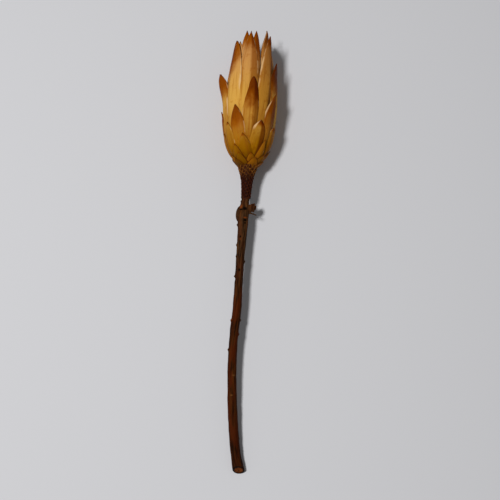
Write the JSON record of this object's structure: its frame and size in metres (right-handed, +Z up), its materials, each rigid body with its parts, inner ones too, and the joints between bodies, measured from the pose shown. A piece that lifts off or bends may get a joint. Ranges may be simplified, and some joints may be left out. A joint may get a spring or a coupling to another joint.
{
  "type": "dried protea flower",
  "caption": "Closed dried protea head of long pointed overlapping bracts round a brush of florets, on a cut woody stem, lying on a surface.",
  "frame": {"origin": "centre of the whole part's box in plan, on the surface that it lies on", "axes": "+Y along the stem toward the head's tip, +Z up from the surface"},
  "size_m": [0.0426, 0.312, 0.0379],
  "materials": {
    "bark": "dry reddish brown bark with leaf scars, satin",
    "bract": "dry leathery bracts, golden tan with red-brown tips, waxy satin",
    "floret": "dry fibrous florets, matt straw brown"
  },
  "bodies": {
    "root": {"stem": "bark", "bracts": "bract", "florets": "floret"}
  },
  "joints": []
}
